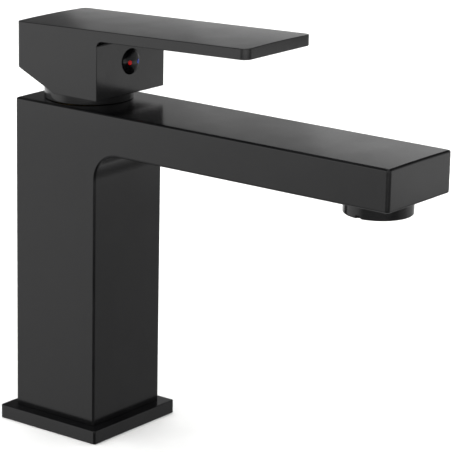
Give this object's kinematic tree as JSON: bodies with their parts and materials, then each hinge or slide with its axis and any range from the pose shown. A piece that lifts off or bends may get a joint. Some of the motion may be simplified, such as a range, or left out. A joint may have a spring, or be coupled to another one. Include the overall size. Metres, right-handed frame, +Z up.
{
  "type": "bathroom mixer faucet",
  "caption": "Single-lever basin mixer with a square column, flat rectangular spout, block handle and ceramic-disc cartridge, in satin black.",
  "frame": {"origin": "centre of the base plate's underside, on the deck, on the column's axis", "axes": "+Z up from the deck, -Y from the column along the spout to the user, +X to the user's right as the user faces the faucet (the cold side)"},
  "size_m": [0.055, 0.1989, 0.1843],
  "materials": {
    "satin_black_brass": "satin black lacquer over cast brass",
    "satin_black_zinc": "satin black lacquer over die-cast zinc",
    "gasket_rubber": "matt EPDM",
    "seal_rubber": "satin nitrile",
    "white_acetal": "moulded acetal",
    "grey_nylon": "moulded nylon",
    "blue_acetal": "moulded acetal",
    "alumina_ceramic": "lapped alumina",
    "raw_brass": "turned brass",
    "stainless_steel": "machined stainless steel",
    "black_plastic": "moulded gloss ABS",
    "red_enamel": "red enamel",
    "blue_enamel": "blue enamel"
  },
  "bodies": {
    "fixed_body": {"body": "satin_black_brass", "base_plate": "satin_black_brass", "base_gasket": "gasket_rubber", "cartridge_base": "white_acetal", "inlet_seal_hot": "seal_rubber", "inlet_seal_cold": "seal_rubber", "disc_gasket": "seal_rubber", "fixed_disc": "alumina_ceramic", "cartridge_housing": "grey_nylon", "housing_o_ring": "seal_rubber", "hot_limit_ring": "white_acetal", "retaining_nut": "raw_brass", "trim_cap": "satin_black_brass", "aerator_housing": "satin_black_brass", "aerator_insert": "grey_nylon", "flow_regulator": "white_acetal", "aerator_screen": "stainless_steel", "aerator_washer": "seal_rubber"},
    "turret": {"turret": "white_acetal", "pivot_pin": "stainless_steel"},
    "carrier": {"disc_carrier": "blue_acetal", "moving_disc": "alumina_ceramic"},
    "lever": {"handle": "satin_black_zinc", "stem": "stainless_steel", "grub_screw": "stainless_steel", "indicator_plug": "black_plastic", "hot_dot": "red_enamel", "cold_dot": "blue_enamel"}
  },
  "joints": [
    {"name": "swivel", "type": "hinge", "parent": "fixed_body", "child": "turret", "pos_m": [0, 0, 0.141], "axis": [0, 0, 1], "range_deg": [-45, 45]},
    {"name": "lift", "type": "hinge", "parent": "turret", "child": "lever", "pos_m": [0, 0, 0.141], "axis": [-1, 0, 0], "range_deg": [0, 25]},
    {"name": "disc_slide", "type": "slide", "parent": "turret", "child": "carrier", "axis": [0, -1, 0], "range_m": [0, 0.0046]}
  ],
  "couplings": [
    {"joint": "disc_slide", "follows": "lift", "m_per_rad": 0.0103}
  ]
}
